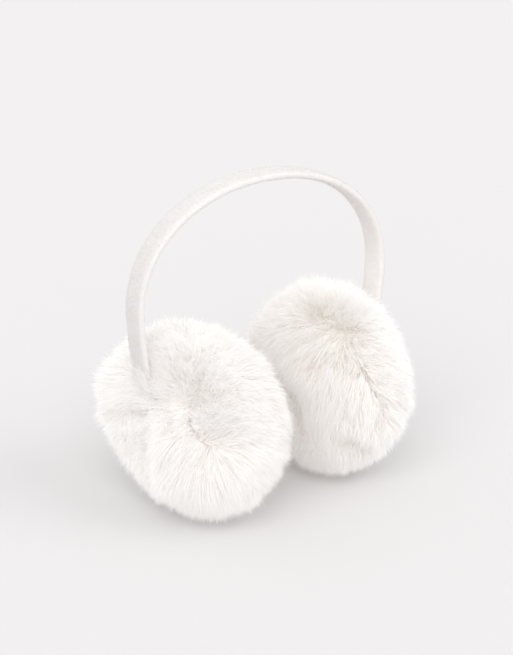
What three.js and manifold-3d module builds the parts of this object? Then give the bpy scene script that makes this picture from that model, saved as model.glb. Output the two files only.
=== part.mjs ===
// Fur earmuffs: a fabric-covered headband, and on each end of it an ear pad of deep white fur.
// Millimetres, +Z up. The pads rest on z = 0, and X runs from the left pad to the right pad.

import * as THREE from 'three';
import { mergeVertices } from 'three/addons/utils/BufferGeometryUtils.js';
import Module from 'manifold-3d';

const wasm = await Module();
wasm.setup();

// Headband
const strapWidth = 15.3;
const strapThickness = 4.3;
const strapSectionFullness = 3.4;
const archHalfSpan = 78;
const archRise = 62.6;
const archFullness = 2.12;
const archAbovePads = 65.3;
const legBendRadius = 155;
const strapEndAbovePadCentre = 3;

// Ear pads, over the tips of the fur
const padRadius = 56.9;
const padHalfThickness = 36;
const padFullness = 2.5;
const footPress = 2.8;

// Fur: the locks stand apart over this depth, and are one mass below it
const lockDepth = 10.5;
const lockSpacing = 19;
const lockWidth = 22;
const lockRootDepth = 5;
const lockLean = 5.5;
const lockDroop = 4;
const lockReachChange = 2.4;
// As shares of lockWidth: half the breadth at the root and at the belly, and how much locks differ
const lockRootShare = 0.56;
const lockBellyShare = 0.46;
const lockWidthChange = 0.2;
// As shares: how far up the belly sits, how far a lock wanders between its neighbours, how close
// it leans to the seam, and the room between the last ring of locks and the seam
const lockBellyPlace = 0.62;
const lockWander = 0.35;
const lockLeanLimit = 0.35;
const seamRingRoom = 0.55;

// Clearances between pieces
const slotClearance = 0.3;
const seamGap = 0.3;

// Mesh fineness
const archSteps = 40;
const legSteps = 6;
const strapSides = 12;
const backingTilts = 12;
const backingTurns = 16;
const lockSides = 5;
const meridianSteps = 60;

// Where the foot of a pad is pressed flat: how far the fur closes up there, and over which share
// of the radius
const footFill = 1.3;
const footSpread = 0.42;

// The two pads. turn: the outer face, in degrees about +Z from +X. setIn: from the pad's middle
// plane out to the strap's centre line.
// forms: tufts (rise above 0) and partings (below 0) in the fur. tilt: degrees from the middle of
// the outer face, 90 at the seam and 180 at the middle of the inner face. around: degrees from the
// top. rise: share of lockDepth. spread: share of padRadius.
const pads = [
  {
    name: 'left', side: -1, turn: 200, setIn: 18.8, seed: 11,
    forms: [
      { tilt: 38, around: -46, rise: 0.3, spread: 0.24 },
      { tilt: 34, around: -6, rise: 0.3, spread: 0.2 },
      { tilt: 15, around: -78, rise: -0.45, spread: 0.13 },
      { tilt: 9, around: 100, rise: 0.2, spread: 0.16 },
      { tilt: 30, around: 26, rise: -0.4, spread: 0.12 },
      { tilt: 24, around: 66, rise: -0.75, spread: 0.14 },
      { tilt: 35, around: 92, rise: -0.7, spread: 0.12 },
      { tilt: 66, around: 60, rise: 0.15, spread: 0.4 },
      { tilt: 55, around: 196, rise: -0.35, spread: 0.3 },
    ],
  },
  {
    name: 'right', side: 1, turn: 4, setIn: 17.7, seed: 47,
    forms: [
      { tilt: 103, around: -70, rise: -0.5, spread: 0.13 },
      { tilt: 93, around: -87, rise: -0.4, spread: 0.11 },
      { tilt: 124, around: -107, rise: -0.5, spread: 0.11 },
      { tilt: 130, around: -22, rise: 0.2, spread: 0.3 },
      { tilt: 82, around: -66, rise: 0.2, spread: 0.25 },
      { tilt: 34, around: 4, rise: 0.4, spread: 0.22 },
    ],
  },
];

const strapMaterial = new THREE.MeshStandardMaterial({ color: 0xf3f1f2, roughness: 0.95, metalness: 0 });
const outerFurMaterial = new THREE.MeshStandardMaterial({ color: 0xf4f1ee, roughness: 1, metalness: 0 });
const innerFurMaterial = new THREE.MeshStandardMaterial({ color: 0xf1ede8, roughness: 1, metalness: 0 });

const padCentreHeight = padRadius - footPress;
const archWidestHeight = padCentreHeight + archAbovePads;
const strapEndHeight = padCentreHeight + strapEndAbovePadCentre;
const farOutside = 4 * (padRadius + padHalfThickness);
// A direction that no lock lies along, to set the sides of the locks by
const offAxis = new THREE.Vector3(0.31, 0.12, 0.94);

const radians = THREE.MathUtils.degToRad;
const signedPower = (value, power) => Math.sign(value) * Math.abs(value) ** power;

// A number from 0 to 1 that looks random and is the same on every run
function chance(seed, index) {
  const wave = Math.sin(seed * 127.1 + index * 311.7) * 43758.5453;
  return wave - Math.floor(wave);
}

// Solids and geometries

function toSolid(geometry) {
  const bare = geometry.clone();
  bare.deleteAttribute('normal');
  bare.deleteAttribute('uv');
  const merged = mergeVertices(bare, 1e-5);
  return new wasm.Manifold(new wasm.Mesh({
    numProp: 3,
    vertProperties: new Float32Array(merged.attributes.position.array),
    triVerts: new Uint32Array(merged.index.array),
  }));
}

// The outer skin of a solid. It fills the hollows that are sealed between the roots of the locks.
function toGeometry(solid) {
  const { vertProperties, triVerts } = solid.getMesh();
  const group = Array.from({ length: vertProperties.length / 3 }, (_, vertex) => vertex);
  const groupOf = (vertex) => {
    let top = vertex;
    while (group[top] !== top) top = group[top];
    group[vertex] = top;
    return top;
  };
  for (let face = 0; face < triVerts.length; face += 3) {
    group[groupOf(triVerts[face])] = groupOf(triVerts[face + 1]);
    group[groupOf(triVerts[face + 1])] = groupOf(triVerts[face + 2]);
  }
  const skins = new Map();
  for (let face = 0; face < triVerts.length; face += 3) {
    const key = groupOf(triVerts[face]);
    if (!skins.has(key)) skins.set(key, []);
    skins.get(key).push(...triVerts.subarray(face, face + 3));
  }
  const outer = [...skins.values()].reduce((best, faces) => (faces.length > best.length ? faces : best));
  const geometry = new THREE.BufferGeometry();
  geometry.setAttribute('position', new THREE.BufferAttribute(vertProperties, 3));
  geometry.setIndex(outer);
  geometry.computeVertexNormals();
  return geometry;
}

// A closed skin over rings of equal length, with a point or a flat cap at each end
function skin(rings, firstPoint, lastPoint) {
  const sides = rings[0].length;
  const points = rings.flat().concat([firstPoint, lastPoint]);
  const first = points.length - 2;
  const last = points.length - 1;
  const lastRing = (rings.length - 1) * sides;
  const faces = [];
  for (let side = 0; side < sides; side++) {
    const next = (side + 1) % sides;
    faces.push(first, next, side);
    faces.push(last, lastRing + side, lastRing + next);
    for (let ring = 0; ring < rings.length - 1; ring++) {
      const low = ring * sides;
      const high = low + sides;
      faces.push(low + side, low + next, high + next);
      faces.push(low + side, high + next, high + side);
    }
  }
  const geometry = new THREE.BufferGeometry();
  geometry.setAttribute('position', new THREE.Float32BufferAttribute(points.flatMap((p) => p.toArray()), 3));
  geometry.setIndex(faces);
  return geometry;
}

function boxBetween(low, high) {
  const size = high.clone().sub(low);
  const centre = low.clone().add(high).multiplyScalar(0.5);
  return new THREE.BoxGeometry(size.x, size.y, size.z).translate(centre.x, centre.y, centre.z);
}

// Headband

function legCentreX(height) {
  const drop = archWidestHeight - height;
  return archHalfSpan - legBendRadius + Math.sqrt(legBendRadius ** 2 - drop ** 2);
}

// The strap's centre line in the XZ plane, from the left end over the crown to the right end
function strapCentreLine(endHeight) {
  const leg = [];
  for (let step = 0; step < legSteps; step++) {
    const height = endHeight + (archWidestHeight - endHeight) * (step / legSteps);
    leg.push({ x: legCentreX(height), z: height });
  }
  const arch = [];
  for (let step = 0; step <= archSteps; step++) {
    const angle = Math.PI * (1 - step / archSteps);
    arch.push({
      x: archHalfSpan * signedPower(Math.cos(angle), 2 / archFullness),
      z: archWidestHeight + archRise * Math.abs(Math.sin(angle)) ** (2 / archFullness),
    });
  }
  const left = leg.map((point) => ({ x: -point.x, z: point.z }));
  return [...left, ...arch, ...leg.reverse()];
}

// The strap, swept along its centre line and grown by a clearance on every side
function strapGeometry(clearance) {
  const line = strapCentreLine(strapEndHeight - clearance);
  const halfWidth = strapWidth / 2 + clearance;
  const halfThickness = strapThickness / 2 + clearance;
  const rings = line.map((point, index) => {
    const before = line[Math.max(index - 1, 0)];
    const after = line[Math.min(index + 1, line.length - 1)];
    const along = new THREE.Vector3(after.x - before.x, 0, after.z - before.z).normalize();
    const outward = new THREE.Vector3(-along.z, 0, along.x);
    const ring = [];
    for (let side = 0; side < strapSides; side++) {
      const angle = (2 * Math.PI * side) / strapSides;
      const y = halfWidth * signedPower(Math.cos(angle), 2 / strapSectionFullness);
      const rise = halfThickness * signedPower(Math.sin(angle), 2 / strapSectionFullness);
      ring.push(new THREE.Vector3(point.x, y, point.z).addScaledVector(outward, rise));
    }
    return ring;
  });
  const end = (point) => new THREE.Vector3(point.x, 0, point.z);
  return skin(rings, end(line[0]), end(line[line.length - 1]));
}

// Ear pad, in its own axes: +X out of the outer face, +Z up, its centre at the origin

// A point on the pad's plain outer form, sunk below the tips by a depth
function plainPoint(tilt, around, depth) {
  const out = (padHalfThickness - depth) * signedPower(Math.cos(tilt), 2 / padFullness);
  const reach = (padRadius - depth) * Math.abs(Math.sin(tilt)) ** (2 / padFullness);
  return new THREE.Vector3(out, reach * Math.sin(around), reach * Math.cos(around));
}

// How far the tufts and partings lift the fur at a point, as a share of lockDepth
function formRise(pad, point) {
  let rise = 0;
  for (const form of pad.forms) {
    const centre = plainPoint(radians(form.tilt), radians(form.around), 0);
    const away = point.distanceTo(centre) / (form.spread * padRadius);
    rise += form.rise * Math.exp(-away * away / 2);
  }
  return rise;
}

function formedPoint(pad, tilt, around, depth) {
  const rise = lockDepth * formRise(pad, plainPoint(tilt, around, 0));
  const point = plainPoint(tilt, around, depth);
  return point.setLength(point.length() + rise);
}

// The mass of fur below the loose locks. It closes up to the floor under the pad.
function backingGeometry(pad) {
  const foot = new THREE.Vector3(0, 0, -padRadius);
  const point = (tilt, around) => {
    const away = plainPoint(tilt, around, 0).distanceTo(foot) / (footSpread * padRadius);
    const fill = lockDepth * footFill * Math.exp(-(away ** 4) / 2);
    const formed = formedPoint(pad, tilt, around, lockDepth);
    return formed.setLength(formed.length() + fill);
  };
  const rings = [];
  for (let row = 1; row < backingTilts; row++) {
    const tilt = Math.PI * (1 - row / backingTilts);
    const ring = [];
    for (let turn = 0; turn < backingTurns; turn++) {
      ring.push(point(tilt, -2 * Math.PI * (turn / backingTurns)));
    }
    rings.push(ring);
  }
  return skin(rings, point(Math.PI, 0), point(0, 0));
}

// Tilts of the rings of locks, evenly spaced along the curve from the middle of a face to the seam
function ringTilts() {
  const lengths = [0];
  const tilts = [0];
  for (let step = 1; step <= meridianSteps; step++) {
    const tilt = (Math.PI / 2) * (step / meridianSteps);
    const piece = plainPoint(tilt, 0, 0).distanceTo(plainPoint(tilts[step - 1], 0, 0));
    lengths.push(lengths[step - 1] + piece);
    tilts.push(tilt);
  }
  const whole = lengths[meridianSteps];
  const count = Math.max(2, Math.round(whole / lockSpacing));
  const rings = [];
  for (let ring = 0; ring < count; ring++) {
    const wanted = (whole * ring) / (count - 1 + seamRingRoom);
    rings.push(tilts[lengths.findIndex((length) => length >= wanted)]);
  }
  return rings;
}

// One lock: a root in the backing, a full belly, and a tip that leans over and droops
function lockGeometry(root, belly, tip, width) {
  const along = tip.clone().sub(root).normalize();
  const across = new THREE.Vector3().crossVectors(along, offAxis).normalize();
  const upright = new THREE.Vector3().crossVectors(along, across);
  const ringAt = (centre, size) => {
    const ring = [];
    for (let side = 0; side < lockSides; side++) {
      const angle = (2 * Math.PI * side) / lockSides;
      ring.push(centre.clone()
        .addScaledVector(across, size * Math.cos(angle))
        .addScaledVector(upright, size * Math.sin(angle)));
    }
    return ring;
  };
  return skin([ringAt(root, width * lockRootShare), ringAt(belly, width * lockBellyShare)], root, tip);
}

// The locks of one half of a pad. facing: 1 on the outer half, -1 on the inner half
function lockGeometries(pad, facing) {
  const locks = [];
  let index = facing > 0 ? 0 : 500;
  for (const ringTilt of ringTilts()) {
    const tiltHere = facing > 0 ? ringTilt : Math.PI - ringTilt;
    const reach = plainPoint(tiltHere, 0, 0).z;
    const count = Math.max(1, Math.round((2 * Math.PI * reach) / lockSpacing));
    const start = chance(pad.seed, index);
    for (let place = 0; place < count; place++) {
      index += 1;
      const wander = chance(pad.seed, index) - 0.5;
      const around = (2 * Math.PI * (place + start + lockWander * wander)) / count;
      const root = formedPoint(pad, tiltHere, around, lockDepth + lockRootDepth);
      const surface = formedPoint(pad, tiltHere, around, 0);
      const toSeam = plainPoint(Math.PI / 2, around, 0).sub(surface);
      const lean = Math.min(lockLean, toSeam.length() * lockLeanLimit);
      const reachChange = lockReachChange * (chance(pad.seed + 3, index) - 0.5);
      const belly = root.clone().lerp(surface, lockBellyPlace);
      const tip = surface.clone().setLength(surface.length() + reachChange);
      tip.addScaledVector(toSeam.normalize(), lean);
      tip.z -= lockDroop * (1 - Math.abs(surface.z) / padRadius);
      const width = lockWidth * (1 + lockWidthChange * (chance(pad.seed + 7, index) - 0.5));
      locks.push(lockGeometry(root, belly, tip, width));
    }
  }
  return locks;
}

// One half of a pad: the backing and its locks joined, cut at the seam and at the floor
function furSolid(pad, facing) {
  const near = facing * (seamGap / 2);
  const far = facing * farOutside;
  const room = toSolid(boxBetween(
    new THREE.Vector3(Math.min(near, far), -farOutside, -padCentreHeight),
    new THREE.Vector3(Math.max(near, far), farOutside, farOutside),
  ));
  let fur = toSolid(backingGeometry(pad));
  for (const lock of lockGeometries(pad, facing)) {
    fur = fur.add(toSolid(lock));
  }
  return fur.intersect(room);
}

// The pad's place in the whole: its centre lies inside the strap's end by setIn
function padPlace(pad) {
  const place = new THREE.Object3D();
  place.position.set(pad.side * (legCentreX(padCentreHeight) - pad.setIn), 0, padCentreHeight);
  place.rotation.z = radians(pad.turn);
  place.updateMatrix();
  return place;
}

// The slot that the strap's end goes into, in the pad's own axes
function slotSolid(place) {
  const grown = strapGeometry(slotClearance);
  grown.applyMatrix4(place.matrix.clone().invert());
  return toSolid(grown);
}

function mesh(name, geometry, material) {
  const made = new THREE.Mesh(geometry, material);
  made.name = name;
  return made;
}

const earmuffs = new THREE.Group();
earmuffs.add(mesh('headband', strapGeometry(0), strapMaterial));
for (const pad of pads) {
  const place = padPlace(pad);
  const outer = furSolid(pad, 1).subtract(slotSolid(place));
  const inner = furSolid(pad, -1).subtract(slotSolid(place));
  const group = new THREE.Group();
  group.position.copy(place.position);
  group.rotation.copy(place.rotation);
  group.add(mesh(`${pad.name}_outer_fur`, toGeometry(outer), outerFurMaterial));
  group.add(mesh(`${pad.name}_inner_fur`, toGeometry(inner), innerFurMaterial));
  earmuffs.add(group);
}

// The origin is the middle of the underside of the whole
const middle = new THREE.Box3().setFromObject(earmuffs, true).getCenter(new THREE.Vector3());
earmuffs.position.set(-middle.x, -middle.y, 0);

export default earmuffs;
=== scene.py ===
"""Fur earmuffs standing on a pale floor: a velour headband and two ear pads of deep white fur.

Everything is in metres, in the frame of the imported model: +Z up, the floor at z = 0.
"""

import math

import bpy
import numpy as np
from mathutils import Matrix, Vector
from mathutils.kdtree import KDTree


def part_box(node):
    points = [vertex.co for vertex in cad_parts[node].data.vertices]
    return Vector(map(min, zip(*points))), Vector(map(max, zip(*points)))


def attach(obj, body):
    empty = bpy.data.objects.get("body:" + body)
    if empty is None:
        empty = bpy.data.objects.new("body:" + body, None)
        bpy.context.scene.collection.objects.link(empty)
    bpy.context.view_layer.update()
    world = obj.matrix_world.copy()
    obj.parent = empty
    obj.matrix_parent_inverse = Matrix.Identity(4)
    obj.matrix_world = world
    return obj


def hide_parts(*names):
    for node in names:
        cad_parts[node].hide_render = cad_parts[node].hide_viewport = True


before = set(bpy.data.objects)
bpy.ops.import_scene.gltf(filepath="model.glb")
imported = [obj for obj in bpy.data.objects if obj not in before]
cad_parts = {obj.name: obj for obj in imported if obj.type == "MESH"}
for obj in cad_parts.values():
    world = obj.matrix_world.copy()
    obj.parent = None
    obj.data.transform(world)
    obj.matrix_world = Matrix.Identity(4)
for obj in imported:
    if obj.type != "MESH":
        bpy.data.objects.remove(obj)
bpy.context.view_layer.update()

strap_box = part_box("headband")
MIDDLE = np.array([(strap_box[0][0] + strap_box[1][0]) / 2, (strap_box[0][1] + strap_box[1][1]) / 2, 0.0])
MM = 0.001

# Headband
STRAP_WIDTH = 15.3 * MM
STRAP_THICKNESS = 4.3 * MM
STRAP_FULLNESS = 3.4
ARCH_HALF_SPAN = 78 * MM
ARCH_RISE = 62.6 * MM
ARCH_FULLNESS = 2.12
ARCH_WIDEST_HEIGHT = 119.4 * MM
LEG_BEND_RADIUS = 155 * MM
STRAP_END_HEIGHT = 57.1 * MM
STRAP_RINGS = 260
STRAP_SIDES = 28
LEG_POINTS = 40
ARCH_POINTS = 400
LINE_POINTS = 600
# The unevenness of the cover's faces, and the share of it that its edges have
STRAP_WAVE = 0.06 * MM
EDGE_WAVE = 0.6
# How sharply the outer side's colour turns into the inner side's, which is painted lighter as fill light on
# its shade
SIDE_CONTRAST = 0.8

# The strap's nap. NAP_SPAN: the shares of the strap's length that it lies between. NAP_HEIGHTS: in
# millimetres. NAP_START: how far above the fur it begins. NAP_UPRIGHT, NAP_BRUSHED and NAP_STRAY: how
# much it stands up, lies along the strap and wanders.
NAP_COUNT = 30000
NAP_SPAN = (0.02, 0.98)
NAP_HEIGHTS = (0.5, 1.1)
NAP_WIDTH = 0.09 * MM
NAP_SINK = 0.1 * MM
NAP_START = 1 * MM
NAP_UPRIGHT = 0.9
NAP_BRUSHED = 0.4
NAP_STRAY = 0.35
SECTION_POINTS = 721

# Ear pads, over the tips of the fur
PAD_RADIUS = 56.9 * MM
PAD_HALF_THICKNESS = 36 * MM
PAD_FULLNESS = 2.5
PAD_CENTRE_HEIGHT = 54.1 * MM
SEAM_GAP = 0.3 * MM

# The backing that the hairs grow from
BACKING_DEPTH = 10.5 * MM
BACKING_ROWS = 36
BACKING_TURNS = 96
BACKING_TUFTS = 0.3
BACKING_LUMP_RISE = 0.5 * MM
BACKING_LUMP_SIZE = 5 * MM

# Forms of the fur. FORM_DEPTH: what a rise of 1 lifts it by. SEAM_MIXING: how far the fur of one half
# reaches over the seam. FOOT_FILL: how far it closes up to the floor, over FOOT_SPREAD of PAD_RADIUS.
FORM_DEPTH = 10.5 * MM
CREASE_WIDTH = 4 * MM
PARTING_POINTS = 60
LUMP_RISE = 1.0 * MM
LUMP_SIZE = 14 * MM
SEAM_MIXING = 5 * MM
FOOT_FILL = 3.2 * MM
FOOT_SPREAD = 0.5

# Hairs. HAIR_LENGTHS and HAIR_WIDTHS: least and greatest share. SHORT_HAIR_LIFT: how much of the way
# to its level a short hair is drawn out. BEND_PLACE: where along its length it turns to its tip.
ROOT_DEPTH = 14 * MM
HAIR_LENGTH = 19 * MM
HAIR_LENGTHS = (0.85, 1.1)
HAIR_WIDTH = 0.32 * MM
HAIR_WIDTHS = (0.75, 1.15)
SHORT_HAIR_LIFT = 0.85
BEND_PLACE = 0.42
ROOT_SLICES = 400

# How the fur lies. FULL_LEAN: degrees that a comb of 1 leans it, and MOST_COMBED the strongest comb.
# STRAY_COMB: how much single hairs differ. FUR_DROOP: how much all of it hangs. COMB_DRIFTS: strengths
# and sizes of its wandering.
FULL_LEAN = 38
MOST_COMBED = 1.6
STRAY_COMB = 0.4
FUR_DROOP = 0.25
COMB_DRIFTS = [(0.3, 26 * MM), (0.2, 9 * MM)]
DRIFT_WAVES = 6
DRIFT_LENGTHS = (0.7, 1.4)
DRIFT_SCALE = 2.4

# Tufts and locks: the spacing of their hearts, and how far hairs are drawn to them. GATHER_SHARES:
# least and greatest share of that. GATHER_CURVE: the higher, the more of it happens near the tips.
GATHERINGS = [(2.4 * MM, 0.6), (9 * MM, 0.25)]
GATHER_SHARES = (0.3, 1.0)
GATHER_CURVE = 1.4

# Where the strap goes into the fur, and the room that hairs leave around it
STRAP_ENTRY_HEIGHT = 94 * MM
ENTRY_WANDER = 1.5 * MM
COVER_SOFTNESS = 2 * MM
ROOM_BESIDE = 0.8 * MM
ROOM_BELOW = 1 * MM
ROOM_BEFORE = 0.6 * MM
ROOM_BEHIND = 0.5 * MM

# Fur pressed on the floor: the layer that it fills, and its lowest height
FLOOR_LAYER = 4 * MM
FLOOR_LIFT = 0.3 * MM

# The layers of fur on each half of a pad. knots: which of a hair's four points it is drawn through,
# from root to tip. reach: lowest and highest level of its tips. widths: shares of HAIR_WIDTH at its
# points.
LAYERS = [
    {
        "name": "under", "count": 24000, "knots": [1, 3],
        "reach": (0.88, 1.01), "widths": [1.25, 0],
    },
    {
        "name": "pile", "count": 7000, "knots": [0, 2, 3],
        "reach": (0.96, 1.05), "widths": [1.1, 0.9, 0],
    },
    {
        "name": "guard", "count": 3000, "knots": [0, 1, 2, 3],
        "reach": (1.0, 1.085), "widths": [1.0, 0.9, 0.7, 0],
    },
]

# Colours of the velour, on its outer side and on its inner side, which is painted lighter to lift its
# shade, and of the fur, at its roots and tips
VELOUR_COLOURS = (0.66, 0.642, 0.632), (0.77, 0.744, 0.725)
OUTER_FUR_COLOURS = (0.975, 0.963, 0.948), (0.992, 0.989, 0.986)
# The inner fur's colours: creamier in their own tone, and darker still as painted shade on the pads' inner
# faces
INNER_FUR_SHADED_COLOURS = (0.957, 0.94, 0.918), (0.986, 0.981, 0.975)
# Share of the light that goes through the fur, and the velour's grain and its depth
FUR_THROUGH = 0.45
VELOUR_GRAIN = 900
VELOUR_DEPTH = 0.3 * MM


def turned(points, degrees):
    """Points turned about +Z."""
    c, s = math.cos(math.radians(degrees)), math.sin(math.radians(degrees))
    x, y = points[..., 0], points[..., 1]
    return np.stack([c * x - s * y, s * x + c * y, points[..., 2]], axis=-1)


def unit(vectors):
    return vectors / np.maximum(np.linalg.norm(vectors, axis=-1, keepdims=True), 1e-12)


def signed_power(values, power):
    return np.sign(values) * np.abs(values) ** power


# Materials


def new_material(name):
    material = bpy.data.materials.new(name)
    material.use_nodes = True
    nodes, links = material.node_tree.nodes, material.node_tree.links
    return material, nodes, links, nodes["Principled BSDF"]


def fur_material(name, root_colour, tip_colour, through):
    """Fur that is creamier at the roots, lets light through, and differs a little from hair to hair."""
    material, nodes, links, shader = new_material(name)
    along = nodes.new("ShaderNodeAttribute")
    along.attribute_name = "along"
    ramp = nodes.new("ShaderNodeValToRGB")
    ramp.color_ramp.elements[0].color = (*root_colour, 1)
    ramp.color_ramp.elements[0].position = 0.15
    ramp.color_ramp.elements[1].color = (*tip_colour, 1)
    ramp.color_ramp.elements[1].position = 0.8
    links.new(along.outputs["Fac"], ramp.inputs["Fac"])
    tone = nodes.new("ShaderNodeAttribute")
    tone.attribute_name = "tone"
    shade = nodes.new("ShaderNodeMix")
    shade.data_type = "RGBA"
    shade.blend_type = "MULTIPLY"
    shade.inputs["Factor"].default_value = 1.0
    greys = nodes.new("ShaderNodeValToRGB")
    greys.color_ramp.elements[0].color = (0.996, 0.995, 0.993, 1)
    greys.color_ramp.elements[1].color = (1, 1, 1, 1)
    links.new(tone.outputs["Fac"], greys.inputs["Fac"])
    links.new(ramp.outputs["Color"], shade.inputs["A"])
    links.new(greys.outputs["Color"], shade.inputs["B"])
    shader.inputs["Roughness"].default_value = 0.75
    shader.inputs["Specular IOR Level"].default_value = 0.15
    translucent = nodes.new("ShaderNodeBsdfTranslucent")
    mix = nodes.new("ShaderNodeMixShader")
    mix.inputs["Fac"].default_value = through
    links.new(shade.outputs["Result"], shader.inputs["Base Color"])
    links.new(shade.outputs["Result"], translucent.inputs["Color"])
    links.new(shader.outputs["BSDF"], mix.inputs[1])
    links.new(translucent.outputs["BSDF"], mix.inputs[2])
    links.new(mix.outputs["Shader"], nodes["Material Output"].inputs["Surface"])
    return material


def cloth_material(name, outer_colour, inner_colour_with_painted_fill, scale, depth):
    """A napped cloth: fine mottled colour, with its inner side painted lighter as fill light on its shade,
    sheen and a soft bump.
    """
    material, nodes, links, shader = new_material(name)
    where = nodes.new("ShaderNodeTexCoord")
    nap = nodes.new("ShaderNodeTexNoise")
    nap.inputs["Scale"].default_value = scale
    nap.inputs["Detail"].default_value = 6
    links.new(where.outputs["Object"], nap.inputs["Vector"])
    # The inner side's colour, painted lighter as fill light on its shade, is mixed in by this share
    inner = nodes.new("ShaderNodeAttribute")
    inner.attribute_name = "inner"
    sides = nodes.new("ShaderNodeValToRGB")
    sides.color_ramp.elements[0].color = (*outer_colour, 1)
    sides.color_ramp.elements[1].color = (*inner_colour_with_painted_fill, 1)
    links.new(inner.outputs["Fac"], sides.inputs["Fac"])
    mottling = nodes.new("ShaderNodeValToRGB")
    mottling.color_ramp.elements[0].color = (0.96, 0.96, 0.96, 1)
    mottling.color_ramp.elements[0].position = 0.3
    mottling.color_ramp.elements[1].color = (1, 1, 1, 1)
    mottling.color_ramp.elements[1].position = 0.7
    links.new(nap.outputs["Fac"], mottling.inputs["Fac"])
    shade = nodes.new("ShaderNodeMix")
    shade.data_type = "RGBA"
    shade.blend_type = "MULTIPLY"
    shade.inputs["Factor"].default_value = 1.0
    links.new(sides.outputs["Color"], shade.inputs["A"])
    links.new(mottling.outputs["Color"], shade.inputs["B"])
    bump = nodes.new("ShaderNodeBump")
    bump.inputs["Strength"].default_value = 0.3
    bump.inputs["Distance"].default_value = depth
    links.new(nap.outputs["Fac"], bump.inputs["Height"])
    links.new(bump.outputs["Normal"], shader.inputs["Normal"])
    links.new(shade.outputs["Result"], shader.inputs["Base Color"])
    shader.inputs["Roughness"].default_value = 0.95
    shader.inputs["Specular IOR Level"].default_value = 0.1
    shader.inputs["Sheen Weight"].default_value = 0.3
    shader.inputs["Sheen Roughness"].default_value = 0.5
    return material


# Meshes


def mesh_piece(name, points, faces, material, smooth=True, values=None):
    """A mesh object from arrays. faces: arrays of equal-sided faces. values: point attributes by name."""
    mesh = bpy.data.meshes.new(name)
    counts = [len(block) for block in faces]
    sizes = [block.shape[1] for block in faces]
    corners = np.concatenate([block.ravel() for block in faces])
    starts = np.concatenate([[0], np.cumsum(np.repeat(sizes, counts))])[:-1]
    mesh.vertices.add(len(points))
    mesh.vertices.foreach_set("co", np.ascontiguousarray(points, dtype=np.float32).ravel())
    mesh.loops.add(len(corners))
    mesh.loops.foreach_set("vertex_index", corners.astype(np.int32))
    mesh.polygons.add(sum(counts))
    mesh.polygons.foreach_set("loop_start", starts.astype(np.int32))
    mesh.polygons.foreach_set("use_smooth", np.full(sum(counts), smooth))
    for key, numbers in (values or {}).items():
        layer = mesh.attributes.new(key, "FLOAT", "POINT")
        layer.data.foreach_set("value", np.asarray(numbers, dtype=np.float32).ravel())
    mesh.update(calc_edges=True)
    mesh.validate()
    mesh.materials.append(material)
    piece = bpy.data.objects.new(name, mesh)
    bpy.context.scene.collection.objects.link(piece)
    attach(piece, "root")
    return piece


def tube_faces(rings, sides):
    """Quads over rings of points, one ring after another."""
    ring, side = np.meshgrid(np.arange(rings - 1), np.arange(sides), indexing="ij")
    low = ring * sides
    following = (side + 1) % sides
    quads = np.stack([low + side, low + following, low + sides + following, low + sides + side], axis=-1)
    return quads.reshape(-1, 4)


def cap_faces(tip, ring_start, sides, flip):
    side = np.arange(sides)
    following = (side + 1) % sides
    order = [following, side] if flip else [side, following]
    return np.stack([np.full(sides, tip), ring_start + order[0], ring_start + order[1]], axis=-1)


# A direction that no hair lies along, to set the sides of the hairs by
OFF_AXIS = np.array([0.31, 0.12, 0.94])


def hair_piece(name, curves, widths, traits, spin, material):
    """Closed three-sided tapering hairs joined in one mesh. curves: hair, point from root to tip, xyz.
    traits: a number for each hair, by name."""
    hairs, knots = curves.shape[:2]
    ahead = unit(np.gradient(curves, axis=1))
    across = unit(np.cross(ahead, OFF_AXIS))
    upright = np.cross(ahead, across)
    turn = spin[:, None] + np.arange(3) * (2 * math.pi / 3)
    ring = (
        np.cos(turn)[:, None, :, None] * across[:, :-1, None, :]
        + np.sin(turn)[:, None, :, None] * upright[:, :-1, None, :]
    )
    rings = curves[:, :-1, None, :] + ring * widths[:, :-1, None, None] / 2
    own = 3 * (knots - 1) + 1
    points = np.concatenate([rings.reshape(hairs, own - 1, 3), curves[:, -1:, :]], axis=1)
    first = (np.arange(hairs) * own)[:, None, None]
    tips = (first + cap_faces(own - 1, 3 * (knots - 2), 3, False)[None]).reshape(-1, 3)
    roots = (first[:, 0] + np.array([0, 2, 1])[None]).reshape(-1, 3)
    faces = [tips, roots]
    if knots > 2:
        faces.append((first + tube_faces(knots - 1, 3)[None]).reshape(-1, 4))
    length = np.linalg.norm(np.diff(curves, axis=1), axis=2).sum(axis=1, keepdims=True)
    left = np.linalg.norm(curves - curves[:, -1:], axis=2)
    along = 1 - left / np.maximum(length, HAIR_LENGTH)
    values = {key: np.repeat(numbers, own) for key, numbers in traits.items()}
    values["along"] = np.concatenate([np.repeat(along[:, :-1], 3, axis=1), along[:, -1:]], axis=1)
    # Smooth shading would darken them: light is lost where a normal leans far from its face
    return mesh_piece(name, points.reshape(-1, 3), faces, material, False, values)


# Headband


def leg_x(height):
    drop = ARCH_WIDEST_HEIGHT - height
    return ARCH_HALF_SPAN - LEG_BEND_RADIUS + np.sqrt(LEG_BEND_RADIUS**2 - drop**2)


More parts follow.
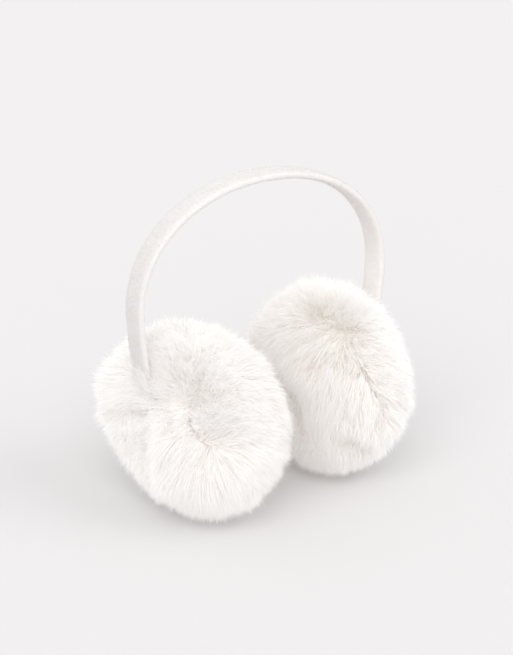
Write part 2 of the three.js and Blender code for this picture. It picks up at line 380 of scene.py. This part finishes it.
def strap_line():
    """Points evenly spaced along the strap's centre line, from left to right, and their normals."""
    heights = np.linspace(STRAP_END_HEIGHT, ARCH_WIDEST_HEIGHT, LEG_POINTS, endpoint=False)
    left = np.stack([-leg_x(heights), heights], axis=1)
    angle = np.linspace(math.pi, 0, ARCH_POINTS)
    arch = np.stack(
        [
            ARCH_HALF_SPAN * signed_power(np.cos(angle), 2 / ARCH_FULLNESS),
            ARCH_WIDEST_HEIGHT + ARCH_RISE * np.abs(np.sin(angle)) ** (2 / ARCH_FULLNESS),
        ],
        axis=1,
    )
    right = left[::-1] * [-1, 1]
    line = np.concatenate([left, arch, right])
    length = np.concatenate([[0], np.cumsum(np.linalg.norm(np.diff(line, axis=0), axis=1))])
    wanted = np.linspace(0, length[-1], LINE_POINTS)
    line = np.stack([np.interp(wanted, length, line[:, k]) for k in range(2)], axis=1)
    ahead = unit(np.gradient(line, axis=0))
    normal = np.stack([-ahead[:, 1], ahead[:, 0]], axis=1)
    return line, normal


def strap_surface(along, around):
    """Points on the strap's surface and their outward normals. along: 0 to 1, around: radians."""
    line, normal = strap_line()
    place = np.linspace(0, 1, len(line))
    x, z = (np.interp(along, place, line[:, k]) for k in range(2))
    nx, nz = (np.interp(along, place, normal[:, k]) for k in range(2))
    long_wave = np.sin(along * 90 + 3 * np.cos(around))
    short_wave = np.sin(along * 141 + 1.7) * np.cos(around * 2 + along * 40)
    wave = STRAP_WAVE * (long_wave + short_wave)
    half_width = STRAP_WIDTH / 2 + wave * EDGE_WAVE
    half_thickness = STRAP_THICKNESS / 2 + wave
    y = half_width * signed_power(np.cos(around), 2 / STRAP_FULLNESS)
    rise = half_thickness * signed_power(np.sin(around), 2 / STRAP_FULLNESS)
    points = np.stack([x + nx * rise, y, z + nz * rise], axis=-1) + MIDDLE
    side = signed_power(np.cos(around), 2 - 2 / STRAP_FULLNESS) / half_width
    lift = signed_power(np.sin(around), 2 - 2 / STRAP_FULLNESS) / half_thickness
    normals = unit(np.stack([nx * lift, side, nz * lift], axis=-1))
    return points, normals


def painted_fill_share(around):
    """How much of the painted fill light the strap gets: 1 on the side towards the head, 0 on its outer
    side.
    """
    return np.clip(0.5 - SIDE_CONTRAST * np.sin(around), 0, 1)


def make_strap(material):
    """The strap's cover."""
    turn = np.arange(STRAP_SIDES) * 2 * math.pi / STRAP_SIDES
    along, around = np.meshgrid(np.linspace(0, 1, STRAP_RINGS), turn, indexing="ij")
    points, _ = strap_surface(along, around)
    points = points.reshape(-1, 3)
    ends = np.stack([points[:STRAP_SIDES].mean(axis=0), points[-STRAP_SIDES:].mean(axis=0)])
    count = len(points)
    faces = [
        tube_faces(STRAP_RINGS, STRAP_SIDES),
        cap_faces(count, 0, STRAP_SIDES, True),
        cap_faces(count + 1, count - STRAP_SIDES, STRAP_SIDES, False),
    ]
    # Share of the inner side's painted fill light at each point
    values = {"inner": np.concatenate([painted_fill_share(around).ravel(), [0.5, 0.5]])}
    strap = mesh_piece(
        "headband_cover", np.concatenate([points, ends]), faces, material, True, values
    )
    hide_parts("headband")


def make_nap(material):
    """The short brushed pile of the strap, above where it goes into the fur."""
    rng = np.random.default_rng(5)
    along = rng.uniform(*NAP_SPAN, NAP_COUNT)
    # Even over the surface: the section's broad faces get their share
    turn = np.linspace(0, 2 * math.pi, SECTION_POINTS)
    section = np.stack(
        [
            STRAP_WIDTH * signed_power(np.cos(turn), 2 / STRAP_FULLNESS),
            STRAP_THICKNESS * signed_power(np.sin(turn), 2 / STRAP_FULLNESS),
        ],
        axis=1,
    )
    length = np.concatenate([[0], np.cumsum(np.linalg.norm(np.diff(section, axis=0), axis=1))])
    around = np.interp(rng.uniform(0, length[-1], NAP_COUNT), length, turn)
    roots, normals = strap_surface(along, around)
    bare = roots[:, 2] > STRAP_ENTRY_HEIGHT + NAP_START
    roots, normals, around = roots[bare], normals[bare], around[bare]
    count = len(roots)
    brushed = unit(np.cross(normals, [0, 1, 0.001]))
    aim = unit(NAP_UPRIGHT * normals + NAP_BRUSHED * brushed + rng.normal(0, NAP_STRAY, (count, 3)))
    tall = rng.uniform(*NAP_HEIGHTS, count)[:, None] * MM
    curves = np.stack([roots - normals * NAP_SINK, roots + aim * tall], axis=1)
    widths = np.tile([NAP_WIDTH, 0.0], (count, 1))
    # Share of the inner side's painted fill light at each hair
    traits = {"inner": painted_fill_share(around)}
    spin = rng.uniform(0, 2 * math.pi, count)
    hair_piece("headband_nap", curves, widths, traits, spin, material)


# Ear pads. In a pad's own axes +X runs out of its outer face and +Z is up.

# turn: the outer face, in degrees about +Z from +X. centre: of the pad, from the strap's middle.
# Places on a pad are a tilt, in degrees from the middle of the outer face, 90 at the seam and 180 at
# the middle of the inner face, and an angle around, in degrees from the top.
# forms: tufts (rise above 0) and hollows (below 0). rise: share of FORM_DEPTH. spread: share of
# PAD_RADIUS.
# partings: lines through places, that the fur falls away from. strength: how far it leans. reach:
# share of PAD_RADIUS. depth: share of FORM_DEPTH, CREASE_WIDTH to each side.
# combs: places round which the fur lies towards a direction in the pad's own axes.
PADS = [
    {
        "name": "left",
        "turn": 200,
        "centre": -44.8 * MM,
        "seed": 21,
        "forms": [
            {"tilt": 38, "around": -50, "rise": 0.85, "spread": 0.20},
            {"tilt": 95, "around": 0, "rise": -0.30, "spread": 0.30},
            {"tilt": 34, "around": 4, "rise": 0.72, "spread": 0.20},
            {"tilt": 60, "around": -88, "rise": 0.30, "spread": 0.35},
            {"tilt": 105, "around": 95, "rise": 0.25, "spread": 0.40},
            {"tilt": 16, "around": -85, "rise": -0.60, "spread": 0.13},
            {"tilt": 27, "around": -118, "rise": -0.80, "spread": 0.22},
            {"tilt": 7, "around": 60, "rise": 1.0, "spread": 0.12},
            {"tilt": 14, "around": 145, "rise": 1.0, "spread": 0.13},
            {"tilt": 37, "around": 120, "rise": 0.30, "spread": 0.12},
            {"tilt": 24, "around": 66, "rise": -0.55, "spread": 0.14},
            {"tilt": 33, "around": 90, "rise": -0.45, "spread": 0.12},
            {"tilt": 66, "around": 60, "rise": 0.15, "spread": 0.40},
            {"tilt": 72, "around": 130, "rise": 0.35, "spread": 0.30},
            {"tilt": 55, "around": 196, "rise": -0.35, "spread": 0.30},
        ],
        "partings": [
            {
                "line": [(27, 36), (22, 68), (28, 82), (34, 89)],
                "strength": 1.2, "reach": 0.30, "depth": 0.40,
            },
            {
                "line": [(38, -81), (25, -73), (16, -60), (13, -35), (12, -11)],
                "strength": 0.8, "reach": 0.14, "depth": 1.00,
            },
            {
                "line": [(12, -11), (6, -30), (4, -102), (12, -144), (24, -152)],
                "strength": 0.7, "reach": 0.14, "depth": 1.00,
            },
            {"line": [(32, 96), (33, 100)], "strength": 0.6, "reach": 0.60, "depth": 0.30},
        ],
        "combs": [
            {"tilt": 38, "around": -55, "toward": (0.2, -1.0, 0.0), "spread": 0.18},
            {"tilt": 34, "around": -8, "toward": (0.0, 0.0, 0.7), "spread": 0.15},
            {"tilt": 10, "around": 110, "toward": (0.0, 0.0, -0.5), "spread": 0.17},
            {"tilt": 40, "around": 120, "toward": (0.0, 0.1, -0.9), "spread": 0.25},
            {"tilt": 85, "around": 60, "toward": (-0.4, 0.3, 0.2), "spread": 0.50},
            {"tilt": 160, "around": 90, "toward": (0.0, 0.2, -0.8), "spread": 0.70},
        ],
    },
    {
        "name": "right",
        "turn": 4,
        "centre": 45.9 * MM,
        "seed": 57,
        "forms": [
            {"tilt": 103, "around": -70, "rise": -0.50, "spread": 0.13},
            {"tilt": 93, "around": -87, "rise": -0.40, "spread": 0.11},
            {"tilt": 124, "around": -107, "rise": -0.50, "spread": 0.11},
            {"tilt": 174, "around": -40, "rise": -0.60, "spread": 0.14},
            {"tilt": 165, "around": -140, "rise": -0.45, "spread": 0.14},
            {"tilt": 130, "around": -22, "rise": 0.20, "spread": 0.30},
            {"tilt": 82, "around": -66, "rise": 0.20, "spread": 0.25},
            {"tilt": 34, "around": 4, "rise": 0.60, "spread": 0.22},
            {"tilt": 95, "around": 0, "rise": 0.45, "spread": 0.45},
            {"tilt": 130, "around": 80, "rise": 0.30, "spread": 0.40},
        ],
        "partings": [
            {
                "line": [(106, -62), (102, -72), (94, -86), (92, -96)],
                "strength": 1.0, "reach": 0.28, "depth": 0.45,
            },
            {
                "line": [(132, -107), (124, -107), (107, -112)],
                "strength": 0.9, "reach": 0.16, "depth": 0.50,
            },
            {"line": [(140, -30), (136, -38)], "strength": 0.4, "reach": 0.09, "depth": 0.30},
            {"line": [(110, -32), (104, -42)], "strength": 0.4, "reach": 0.09, "depth": 0.30},
            {"line": [(127, -80), (121, -88)], "strength": 0.4, "reach": 0.09, "depth": 0.30},
            {
                "line": [(167, 16), (174, -34), (173, -108), (162, -146)],
                "strength": 0.8, "reach": 0.16, "depth": 0.50,
            },
        ],
        "combs": [
            {"tilt": 148, "around": -70, "toward": (0.0, -0.05, -1.2), "spread": 0.60},
            {"tilt": 133, "around": -14, "toward": (-0.3, -0.1, 0.0), "spread": 0.30},
            {"tilt": 80, "around": -70, "toward": (0.9, -0.2, -0.1), "spread": 0.25},
            {"tilt": 20, "around": 0, "toward": (0.0, 0.0, -0.6), "spread": 0.80},
        ],
    },
]


def pad_surface(tilt, around, depth):
    """Points on the pad's plain outer form, sunk below the tips by a depth, in the pad's own axes."""
    out = (PAD_HALF_THICKNESS - depth) * signed_power(np.cos(tilt), 2 / PAD_FULLNESS)
    reach = (PAD_RADIUS - depth) * np.abs(np.sin(tilt)) ** (2 / PAD_FULLNESS)
    return np.stack([out, reach * np.sin(around), reach * np.cos(around)], axis=-1)


def pad_level(points):
    """1 on the pad's plain outer form, less inside it."""
    reach = np.hypot(points[..., 1], points[..., 2]) / PAD_RADIUS
    out = np.abs(points[..., 0]) / PAD_HALF_THICKNESS
    return (reach**PAD_FULLNESS + out**PAD_FULLNESS) ** (1 / PAD_FULLNESS)


def pad_normal(points):
    reach = np.maximum(np.hypot(points[..., 1], points[..., 2]), 1e-9)
    out = signed_power(points[..., 0] / PAD_HALF_THICKNESS, PAD_FULLNESS - 1) / PAD_HALF_THICKNESS
    rim = (reach / PAD_RADIUS) ** (PAD_FULLNESS - 1) / PAD_RADIUS
    return unit(np.stack([out, rim * points[..., 1] / reach, rim * points[..., 2] / reach], axis=-1))


def form_rise(pad, points):
    """How far tufts and partings lift the fur at points of the plain form, in metres."""
    rise = np.zeros(points.shape[:-1])
    for form in pad["forms"]:
        centre = pad_surface(math.radians(form["tilt"]), math.radians(form["around"]), 0)
        away = np.linalg.norm(points - centre, axis=-1) / (form["spread"] * PAD_RADIUS)
        rise += form["rise"] * FORM_DEPTH * np.exp(-away * away / 2)
    for parting in pad["partings"]:
        apart = np.linalg.norm(points[..., None, :] - parting_points(parting), axis=-1)
        away = apart.min(axis=-1) / CREASE_WIDTH
        rise -= parting["depth"] * FORM_DEPTH * np.exp(-away * away)
    return rise


def place_in_whole(pad, points):
    return turned(points, pad["turn"]) + MIDDLE + np.array([pad["centre"], 0, PAD_CENTRE_HEIGHT])


def parting_points(parting):
    """The parting's line, filled in between its corners."""
    tilt, around = np.radians(parting["line"]).T
    corners = pad_surface(tilt, around, 0)
    fine = np.linspace(0, len(corners) - 1, PARTING_POINTS)
    return np.stack([np.interp(fine, np.arange(len(corners)), corners[:, k]) for k in range(3)], axis=1)


def drift(points, seed, wavelength):
    """A smooth wandering vector field."""
    rng = np.random.default_rng(seed)
    total = np.zeros_like(points)
    for _ in range(DRIFT_WAVES):
        wave = unit(rng.normal(size=3)) * (2 * math.pi / (wavelength * rng.uniform(*DRIFT_LENGTHS)))
        phase = rng.uniform(0, 2 * math.pi)
        total += unit(rng.normal(size=3)) * np.sin(points @ wave + phase)[..., None]
    return total / DRIFT_SCALE


def comb_field(pad, surface, normal):
    """Which way the fur lies at points of the plain form, along the surface, longer where it leans more."""
    field = np.zeros_like(surface)
    for parting in pad["partings"]:
        line = parting_points(parting)
        apart = surface[:, None, :] - line[None]
        gap = np.linalg.norm(apart, axis=-1)
        nearest = gap.argmin(axis=1)
        rows = np.arange(len(surface))
        away = gap[rows, nearest]
        pull = parting["strength"] * np.exp(-((away / (parting["reach"] * PAD_RADIUS)) ** 2))
        field += unit(apart[rows, nearest]) * pull[:, None]
    for comb in pad["combs"]:
        centre = pad_surface(math.radians(comb["tilt"]), math.radians(comb["around"]), 0)
        away = np.linalg.norm(surface - centre, axis=-1) / (comb["spread"] * PAD_RADIUS)
        field += np.exp(-away * away / 2)[:, None] * np.array(comb["toward"])
    field += np.array([0, 0, -FUR_DROOP])
    field += sum(
        strength * drift(surface, seed, wavelength)
        for seed, (strength, wavelength) in enumerate(COMB_DRIFTS, pad["seed"])
    )
    return field - (field * normal).sum(axis=-1, keepdims=True) * normal


def even_roots(rng, count, facing):
    """Tilt and around of random places, even over one half of the pad, and the half's area."""
    tilts = np.linspace(0, math.pi / 2, ROOT_SLICES)
    points = pad_surface(tilts, np.zeros(ROOT_SLICES), ROOT_DEPTH / 2)
    step = np.linalg.norm(np.diff(points, axis=0), axis=1)
    ring = (points[1:, 2] + points[:-1, 2]) / 2
    total = np.concatenate([[0], np.cumsum(step * ring)])
    tilt = np.interp(rng.uniform(0, total[-1], count), total, tilts)
    if facing < 0:
        tilt = math.pi - tilt
    return tilt, rng.uniform(0, 2 * math.pi, count), total[-1] * 2 * math.pi


def gather(curves, hearts, pull):
    """Draws each hair towards the hair at the heart of its own tuft, more towards the tips."""
    tree = KDTree(len(hearts))
    for index, heart in enumerate(hearts):
        tree.insert(Vector(curves[heart, 0]), index)
    tree.balance()
    nearest = np.array([hearts[tree.find(Vector(root))[1]] for root in curves[:, 0]])
    share = np.linspace(0, 1, curves.shape[1])[None, :, None] ** GATHER_CURVE * pull[:, None, None]
    return curves + (curves[nearest] - curves) * share


def soft_floor(points):
    """Presses what would reach below the floor into a thin layer on it."""
    height = points[..., 2]
    sunk = np.minimum(height - FLOOR_LAYER, 0) / FLOOR_LAYER
    pressed = np.where(height < FLOOR_LAYER, FLOOR_LAYER * np.exp(sunk), height)
    points = points.copy()
    points[..., 2] = np.maximum(pressed, FLOOR_LIFT)
    return points


def clear_of_strap(hairs, side, rng):
    """Moves hairs off the strap: in front where they end there below its entry, and else behind it."""
    off = hairs - MIDDLE
    height = np.clip(off[..., 2], STRAP_END_HEIGHT, ARCH_WIDEST_HEIGHT)
    strap = leg_x(height)
    out = side * off[..., 0]
    beside = np.abs(off[..., 1]) > STRAP_WIDTH / 2 + ROOM_BESIDE
    below = off[..., 2] < STRAP_END_HEIGHT - ROOM_BELOW
    nearest = strap + STRAP_THICKNESS / 2 + ROOM_BEFORE
    front = nearest + COVER_SOFTNESS * np.log1p(np.exp((out - nearest) / COVER_SOFTNESS))
    back = np.minimum(out, strap - STRAP_THICKNESS / 2 - ROOM_BEHIND)
    low = off[:, -1, 2] < STRAP_ENTRY_HEIGHT + rng.normal(0, ENTRY_WANDER, len(hairs))
    covers = low & (out[:, -1] > nearest[:, -1] - COVER_SOFTNESS)
    moved = np.where(covers[:, None], front, back)
    hairs = hairs.copy()
    hairs[..., 0] = MIDDLE[0] + side * np.where(beside | below, out, moved)
    return hairs


def grow(pad, facing, seed):
    """Hairs of one half of a pad, four points each from root to tip, in the order of LAYERS.
    Its random generator comes back too, for the draws that follow."""
    rng = np.random.default_rng(seed)
    count = sum(layer["count"] for layer in LAYERS)
    low, high = (np.concatenate([np.full(y["count"], y["reach"][k]) for y in LAYERS]) for k in range(2))
    tilt, around, area = even_roots(rng, count, facing)
    surface = pad_surface(tilt, around, 0)
    root = pad_surface(tilt, around, ROOT_DEPTH)
    normal = pad_normal(surface)
    comb = comb_field(pad, surface, normal) + STRAY_COMB * rng.normal(size=surface.shape)
    lay = np.linalg.norm(comb, axis=1, keepdims=True)
    lean = np.minimum(lay, MOST_COMBED) * math.radians(FULL_LEAN)
    aim = normal * np.cos(lean) + comb / np.maximum(lay, 1e-9) * np.sin(lean)
    own = HAIR_LENGTH * rng.uniform(*HAIR_LENGTHS, (count, 1))
    tip = root + aim * own
    foot = np.array([0, 0, -PAD_RADIUS])
    away = np.linalg.norm(surface - foot, axis=1) / (FOOT_SPREAD * PAD_RADIUS)
    rise = form_rise(pad, surface) + FOOT_FILL * np.exp(-(away**4) / 2)
    rise += LUMP_RISE * drift(surface, pad["seed"] + 3, LUMP_SIZE)[..., 0]
    goal = rng.uniform(low, high) + rise / np.linalg.norm(surface, axis=1)
    level = pad_level(tip)
    tip *= (1 + (goal / level - 1) * np.where(goal > level, SHORT_HAIR_LIFT, 1.0))[:, None]
    bend = root + normal * own * BEND_PLACE
    steps = np.linspace(0, 1, 4)[None, :, None]
    rest = 1 - steps
    curves = rest**2 * root[:, None] + 2 * steps * rest * bend[:, None] + steps**2 * tip[:, None]
    shuffled = rng.permutation(count)
    for spacing, pull in GATHERINGS:
        hearts = shuffled[: int(area / spacing**2)]
        curves = gather(curves, hearts, pull * rng.uniform(*GATHER_SHARES, count))
    curves[..., 0] = facing * np.maximum(facing * curves[..., 0], -SEAM_MIXING)
    placed = place_in_whole(pad, curves)
    if facing > 0:
        placed = clear_of_strap(placed, math.copysign(1, pad["centre"]), rng)
    return soft_floor(placed), rng


def make_backing(pad, facing, name, material):
    """The dense mass that the hairs grow from."""
    rows, turns = BACKING_ROWS, BACKING_TURNS
    tilts = np.linspace(0, math.pi / 2, rows + 1)[1:]
    arounds = -np.arange(turns) * 2 * math.pi / turns * facing
    tilt, around = np.meshgrid(tilts, arounds, indexing="ij")
    if facing < 0:
        tilt = math.pi - tilt
    plain = pad_surface(tilt, around, 0)
    points = pad_surface(tilt, around, BACKING_DEPTH)
    forms = form_rise(pad, plain)
    # It follows hollows wholly and tufts a little, so that the fur stays deep on them
    rise = np.minimum(forms, BACKING_TUFTS * forms)
    rise += BACKING_LUMP_RISE * drift(plain, pad["seed"] + 5, BACKING_LUMP_SIZE)[..., 0]
    points *= (1 + rise / np.linalg.norm(points, axis=-1))[..., None]
    points[..., 0] = facing * np.maximum(facing * points[..., 0], SEAM_GAP / 2)
    points[-1, :, 0] = facing * SEAM_GAP / 2
    flat = points.reshape(-1, 3)
    pole = points[0].mean(axis=0)
    middle = points[-1].mean(axis=0)
    count = rows * turns
    faces = [
        tube_faces(rows, turns),
        cap_faces(count, 0, turns, True),
        cap_faces(count + 1, count - turns, turns, False),
    ]
    placed = soft_floor(place_in_whole(pad, np.concatenate([flat, [pole, middle]])))
    values = {"along": np.full(len(placed), 0.1), "tone": np.full(len(placed), 0.5)}
    piece = mesh_piece(f"{name}_backing", placed, faces, material, True, values)
    return piece


def make_pad(pad, outer_material, shaded_inner_material):
    """The backing and the layers of fur of both halves of a pad; the inner half's material carries painted
    shade.
    """
    for facing, side, material in ((1, "outer", outer_material), (-1, "inner", shaded_inner_material)):
        name = f"{pad['name']}_{side}_fur"
        pieces = [make_backing(pad, facing, name, material)]
        curves, rng = grow(pad, facing, pad["seed"] * 10 + (facing > 0))
        start = 0
        for layer in LAYERS:
            hairs = curves[start : start + layer["count"]][:, layer["knots"]]
            start += layer["count"]
            shares = rng.uniform(*HAIR_WIDTHS, (len(hairs), 1))
            widths = HAIR_WIDTH * np.array(layer["widths"]) * shares
            traits = {"tone": rng.uniform(0, 1, len(hairs))}
            spin = rng.uniform(0, 2 * math.pi, len(hairs))
            own_name = f"{name}_{layer['name']}"
            pieces.append(hair_piece(own_name, hairs, widths, traits, spin, material))
        for piece in pieces:
            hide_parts(name)


# Floor, light and camera

VIEW_TURN = 33.92
VIEW_DROP = 22.0
VIEW_DISTANCE = 0.70
VIEW_CENTRE = np.array([-3.5 * MM, 0, 96.8 * MM])
LENS_MM = 70.5
SENSOR_MM = 36
FLOOR_HALF = 6.0
FLOOR_COLOUR = (0.64, 0.63, 0.633, 1)
SKY_COLOUR = (1.0, 0.987, 0.99, 1)
SKY_STRENGTH = 0.895
# Lamps: where each stands, to the right of the view, nearer and up, its spread in degrees and strength
LAMPS = [
    {"name": "key", "place": (0.75, 0.25, 0.6), "spread": 38, "strength": 0.7},
    {"name": "fill", "place": (-0.15, 0.8, 0.7), "spread": 60, "strength": 1.8},
]
# Bounces of light: at most, in the fur, and before the sky's light over SKY_REACH stands in for them
BOUNCES = 16
FUR_BOUNCES = 12
SKY_BOUNCES = 5
SKY_REACH = 0.1 * MM


def make_floor():
    material, _, _, shader = new_material("floor_white")
    shader.inputs["Base Color"].default_value = FLOOR_COLOUR
    shader.inputs["Roughness"].default_value = 1.0
    shader.inputs["Specular IOR Level"].default_value = 0.0
    signs = ((-1, -1), (1, -1), (1, 1), (-1, 1))
    mesh = bpy.data.meshes.new("floor")
    mesh.from_pydata([(x * FLOOR_HALF, y * FLOOR_HALF, 0) for x, y in signs], [], [(0, 1, 2, 3)])
    mesh.materials.append(material)
    floor = bpy.data.objects.new("floor", mesh)
    bpy.context.scene.collection.objects.link(floor)


def aim_at(thing, target):
    thing.rotation_euler = (Vector(target) - thing.location).to_track_quat("-Z", "Y").to_euler()


def make_lamp(name, toward, spread, strength):
    """A far, broad light. toward: direction to it. spread: degrees across."""
    lamp = bpy.data.lights.new(name, "SUN")
    lamp.angle = math.radians(spread)
    lamp.energy = strength
    thing = bpy.data.objects.new(name, lamp)
    thing.location = Vector(toward)
    bpy.context.scene.collection.objects.link(thing)
    aim_at(thing, (0, 0, 0))


def make_light():
    world = bpy.data.worlds.new("studio")
    bpy.context.scene.world = world
    world.use_nodes = True
    background = world.node_tree.nodes["Background"]
    background.inputs["Color"].default_value = SKY_COLOUR
    background.inputs["Strength"].default_value = SKY_STRENGTH
    right = np.array([math.cos(math.radians(VIEW_TURN)), -math.sin(math.radians(VIEW_TURN)), 0])
    nearer = np.array([-math.sin(math.radians(VIEW_TURN)), -math.cos(math.radians(VIEW_TURN)), 0])
    for lamp in LAMPS:
        along, near, up = lamp["place"]
        toward = unit(along * right + near * nearer + np.array([0, 0, up]))
        make_lamp(lamp["name"], toward, lamp["spread"], lamp["strength"])
    scene = bpy.context.scene
    scene.view_settings.view_transform = "Standard"
    scene.view_settings.look = "None"
    scene.cycles.max_bounces = BOUNCES
    scene.cycles.diffuse_bounces = FUR_BOUNCES
    scene.cycles.transmission_bounces = FUR_BOUNCES
    # Past a few bounces, light in the fur is taken from the sky over a short reach
    scene.cycles.use_fast_gi = True
    scene.cycles.fast_gi_method = "REPLACE"
    scene.cycles.ao_bounces_render = SKY_BOUNCES
    world.light_settings.distance = SKY_REACH


def make_camera():
    turn, drop = math.radians(VIEW_TURN), math.radians(VIEW_DROP)
    ahead = np.array([math.sin(turn) * math.cos(drop), math.cos(turn) * math.cos(drop), -math.sin(drop)])
    centre = VIEW_CENTRE + MIDDLE
    lens = bpy.data.cameras.new("camera")
    lens.lens = LENS_MM
    lens.sensor_width = SENSOR_MM
    lens.clip_start = 0.01
    camera = bpy.data.objects.new("camera", lens)
    camera.location = Vector(centre - VIEW_DISTANCE * ahead)
    bpy.context.scene.collection.objects.link(camera)
    aim_at(camera, centre)
    bpy.context.scene.camera = camera


make_camera()
make_floor()
make_light()
velour = cloth_material("strap_velour", *VELOUR_COLOURS, VELOUR_GRAIN, VELOUR_DEPTH)
outer_fur = fur_material("outer_white_fur", *OUTER_FUR_COLOURS, FUR_THROUGH)
# Inner halves: creamier fur, also darkened as painted shade
shaded_inner_fur = fur_material("inner_white_fur_shaded", *INNER_FUR_SHADED_COLOURS, FUR_THROUGH)
make_strap(velour)
make_nap(velour)
for pad in PADS:
    make_pad(pad, outer_fur, shaded_inner_fur)
